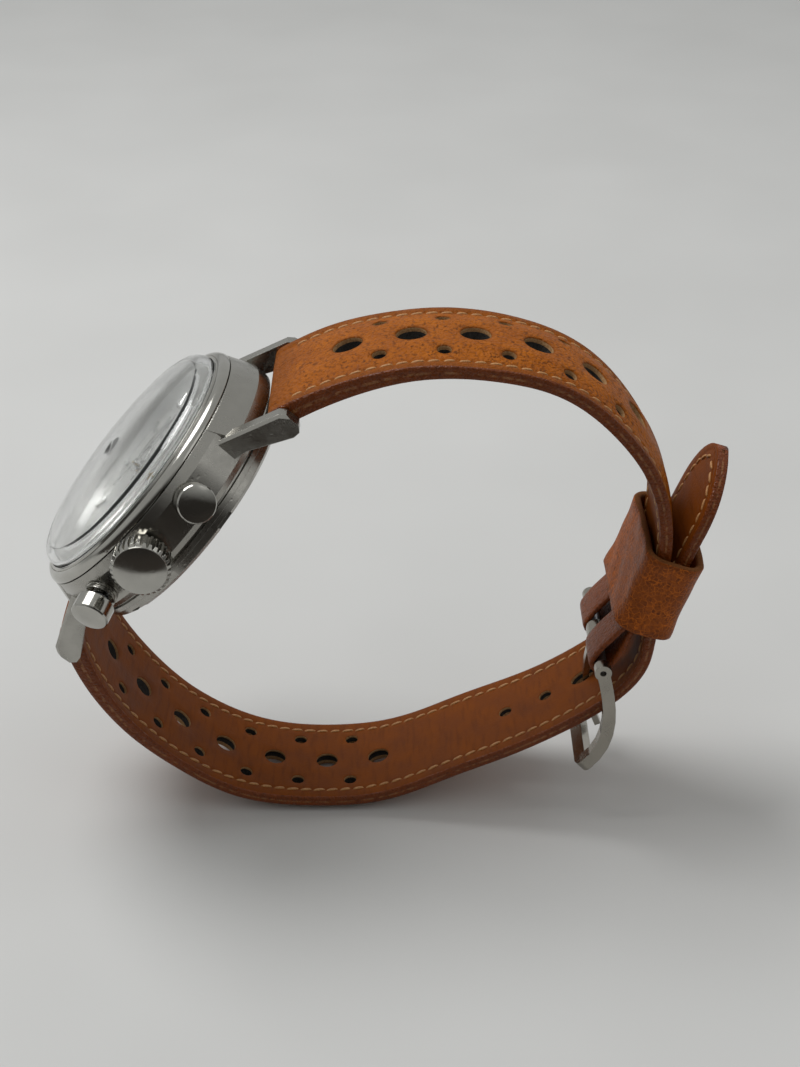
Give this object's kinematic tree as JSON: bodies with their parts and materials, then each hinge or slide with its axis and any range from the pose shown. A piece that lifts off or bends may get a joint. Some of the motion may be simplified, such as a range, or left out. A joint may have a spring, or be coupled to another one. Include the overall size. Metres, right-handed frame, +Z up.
{
  "type": "chronograph wristwatch",
  "caption": "Two-pusher chronograph wristwatch with domed crystal, mechanical movement and a buckled perforated leather strap.",
  "frame": {"origin": "centre of the case back's outer face", "axes": "+X out through the crown at 3 o'clock, +Z up with the watch on its side and the dial leaning back, +Y towards the buckle end of the closed strap"},
  "size_m": [0.0436, 0.0933, 0.0714],
  "materials": {
    "case_steel": "satin with worn polish",
    "polished_steel": "polished",
    "spring_steel": "fine ground",
    "acrylic": "clear polished acrylic",
    "gasket_rubber": "matte",
    "dial_silver": "silvered satin",
    "applied_metal": "polished",
    "plated_brass": "nickel plated, grained",
    "gilt_brass": "gilt",
    "hairspring_alloy": "blued alloy",
    "strap_leather": "burnished tan calf"
  },
  "bodies": {
    "case": {"case_middle": "case_steel", "bezel": "polished_steel", "crystal": "acrylic", "crystal_tension_ring": "polished_steel", "flange_ring": "dial_silver", "caseback": "case_steel", "caseback_gasket": "gasket_rubber", "crown_tube": "polished_steel", "start_pusher_tube": "polished_steel", "reset_pusher_tube": "polished_steel", "start_pusher_spring": "spring_steel", "reset_pusher_spring": "spring_steel", "dial": "dial_silver", "subdial_rings": "applied_metal", "hour_markers": "applied_metal", "mainplate": "plated_brass", "train_bridge": "plated_brass", "bridge_screws": "spring_steel", "movement_ring": "plated_brass", "balance_cock": "plated_brass", "hairspring": "hairspring_alloy", "spring_bar_12": "spring_steel", "spring_bar_6": "spring_steel", "buckle_spring_bar": "spring_steel", "strap_upper": "strap_leather", "strap_lower": "strap_leather"},
    "setting_lever": {"setting_lever": "spring_steel"},
    "crown": {"crown": "polished_steel", "crown_gasket": "gasket_rubber", "winding_stem": "spring_steel"},
    "start_pusher": {"start_pusher": "polished_steel", "start_pusher_clip": "spring_steel"},
    "reset_pusher": {"reset_pusher": "polished_steel", "reset_pusher_clip": "spring_steel"},
    "start_lever": {"start_lever": "spring_steel"},
    "reset_hammer": {"reset_hammer": "spring_steel"},
    "minute_hand": {"minute_hand": "applied_metal", "cannon_pinion": "spring_steel"},
    "hour_hand": {"hour_hand": "applied_metal", "hour_wheel": "gilt_brass"},
    "minute_wheel": {"minute_wheel": "spring_steel"},
    "chrono_seconds": {"chrono_seconds_hand": "applied_metal", "chronograph_runner": "gilt_brass"},
    "minute_counter": {"minute_counter_hand": "applied_metal", "minute_counter_wheel": "gilt_brass"},
    "small_seconds": {"small_seconds_hand": "applied_metal", "fourth_wheel": "gilt_brass"},
    "third_wheel": {"third_wheel": "gilt_brass"},
    "centre_wheel": {"centre_wheel": "gilt_brass"},
    "barrel": {"barrel": "plated_brass", "mainspring": "spring_steel"},
    "barrel_arbor": {"barrel_arbor": "plated_brass"},
    "escape_wheel": {"escape_wheel": "gilt_brass"},
    "pallet_fork": {"pallet_fork": "spring_steel"},
    "balance": {"balance_wheel": "gilt_brass"},
    "buckle_frame": {"buckle_frame": "polished_steel"},
    "buckle_tongue": {"buckle_tongue": "polished_steel"},
    "keeper": {"keeper": "strap_leather"}
  },
  "joints": [
    {"name": "stem_pull", "type": "slide", "parent": "case", "child": "setting_lever", "axis": [1, 0, 0], "range_m": [0, 0.001]},
    {"name": "crown_turn", "type": "hinge", "parent": "setting_lever", "child": "crown", "pos_m": [0, -0.00455, 0.00406], "axis": [1, 0, 0], "continuous": true},
    {"name": "start_press", "type": "slide", "parent": "case", "child": "start_pusher", "axis": [-0.8829, -0.3125, -0.3504], "range_m": [0, 0.0009], "stiffness_N_per_m": 400, "springref_m": -0.0005, "deforming": ["start_pusher_spring"]},
    {"name": "reset_press", "type": "slide", "parent": "case", "child": "reset_pusher", "axis": [-0.8829, 0.3125, 0.3504], "range_m": [0, 0.0009], "stiffness_N_per_m": 400, "springref_m": -0.0005, "deforming": ["reset_pusher_spring"]},
    {"name": "start_lever_swing", "type": "hinge", "parent": "case", "child": "start_lever", "pos_m": [0.0065, 0.00654, 0.00958], "axis": [0, -0.7463, 0.6656], "range_deg": [-7.5, 0.5]},
    {"name": "reset_hammer_swing", "type": "hinge", "parent": "case", "child": "reset_hammer", "pos_m": [0.0065, -0.00877, -0.00758], "axis": [0, -0.7463, 0.6656], "range_deg": [-0.5, 7.5]},
    {"name": "minute_hand_turn", "type": "hinge", "parent": "case", "child": "minute_hand", "pos_m": [0, -0.00448, 0.00399], "axis": [0, -0.7463, 0.6656], "continuous": true},
    {"name": "hour_hand_turn", "type": "hinge", "parent": "case", "child": "hour_hand", "pos_m": [0, -0.00448, 0.00399], "axis": [0, -0.7463, 0.6656], "continuous": true},
    {"name": "minute_wheel_turn", "type": "hinge", "parent": "case", "child": "minute_wheel", "pos_m": [0, -0.00639, 0.00184], "axis": [0, -0.7463, 0.6656], "continuous": true},
    {"name": "chrono_seconds_turn", "type": "hinge", "parent": "case", "child": "chrono_seconds", "pos_m": [0, -0.00448, 0.00399], "axis": [0, -0.7463, 0.6656], "continuous": true},
    {"name": "minute_counter_turn", "type": "hinge", "parent": "case", "child": "minute_counter", "pos_m": [0.0066, -0.00448, 0.00399], "axis": [0, -0.7463, 0.6656], "continuous": true},
    {"name": "small_seconds_turn", "type": "hinge", "parent": "case", "child": "small_seconds", "pos_m": [-0.0066, -0.00448, 0.00399], "axis": [0, -0.7463, 0.6656], "continuous": true},
    {"name": "third_wheel_turn", "type": "hinge", "parent": "case", "child": "third_wheel", "pos_m": [-0.00347, -0.00639, 0.00185], "axis": [0, -0.7463, 0.6656], "continuous": true},
    {"name": "centre_wheel_turn", "type": "hinge", "parent": "case", "child": "centre_wheel", "pos_m": [0, -0.00448, 0.00399], "axis": [0, -0.7463, 0.6656], "continuous": true},
    {"name": "barrel_turn", "type": "hinge", "parent": "case", "child": "barrel", "pos_m": [0.00312, -0.00088, 0.00803], "axis": [0, -0.7463, 0.6656], "continuous": true},
    {"name": "winding_turn", "type": "hinge", "parent": "case", "child": "barrel_arbor", "pos_m": [0.00312, -0.00088, 0.00803], "axis": [0, -0.7463, 0.6656], "continuous": true},
    {"name": "escape_wheel_turn", "type": "hinge", "parent": "case", "child": "escape_wheel", "pos_m": [-0.00795, -0.00695, 0.00122], "axis": [0, -0.7463, 0.6656], "continuous": true},
    {"name": "pallet_swing", "type": "hinge", "parent": "case", "child": "pallet_fork", "pos_m": [-0.00665, -0.00654, -0.00177], "axis": [0, -0.7463, 0.6656], "range_deg": [-4, 4]},
    {"name": "balance_swing", "type": "hinge", "parent": "case", "child": "balance", "pos_m": [-0.0043, -0.00836, -0.00487], "axis": [0, -0.7463, 0.6656], "range_deg": [-150, 150], "stiffness_Nm_per_rad": 0.0000001, "deforming": ["hairspring"]},
    {"name": "buckle_swing", "type": "hinge", "parent": "case", "child": "buckle_frame", "pos_m": [0, 0.0564, -0.0205], "axis": [1, 0, 0], "range_deg": [-18, 2]},
    {"name": "tongue_swing", "type": "hinge", "parent": "case", "child": "buckle_tongue", "pos_m": [0, 0.0564, -0.0205], "axis": [1, 0, 0], "range_deg": [-1.5, 0.5]},
    {"name": "keeper_slide", "type": "slide", "parent": "case", "child": "keeper", "axis": [0, 0.3256, 0.9455], "range_m": [-0.0015, 0.001]}
  ],
  "couplings": [
    {"joint": "hour_hand_turn", "follows": "minute_hand_turn", "ratio": 0.083333},
    {"joint": "minute_wheel_turn", "follows": "minute_hand_turn", "ratio": -0.33333},
    {"joint": "third_wheel_turn", "follows": "small_seconds_turn", "ratio": -0.13333},
    {"joint": "centre_wheel_turn", "follows": "small_seconds_turn", "ratio": 0.016667},
    {"joint": "barrel_turn", "follows": "small_seconds_turn", "ratio": -0.002381},
    {"joint": "escape_wheel_turn", "follows": "small_seconds_turn", "ratio": -10},
    {"joint": "start_lever_swing", "follows": "start_press", "rad_per_m": -141.11},
    {"joint": "reset_hammer_swing", "follows": "reset_press", "rad_per_m": 141.11}
  ]
}
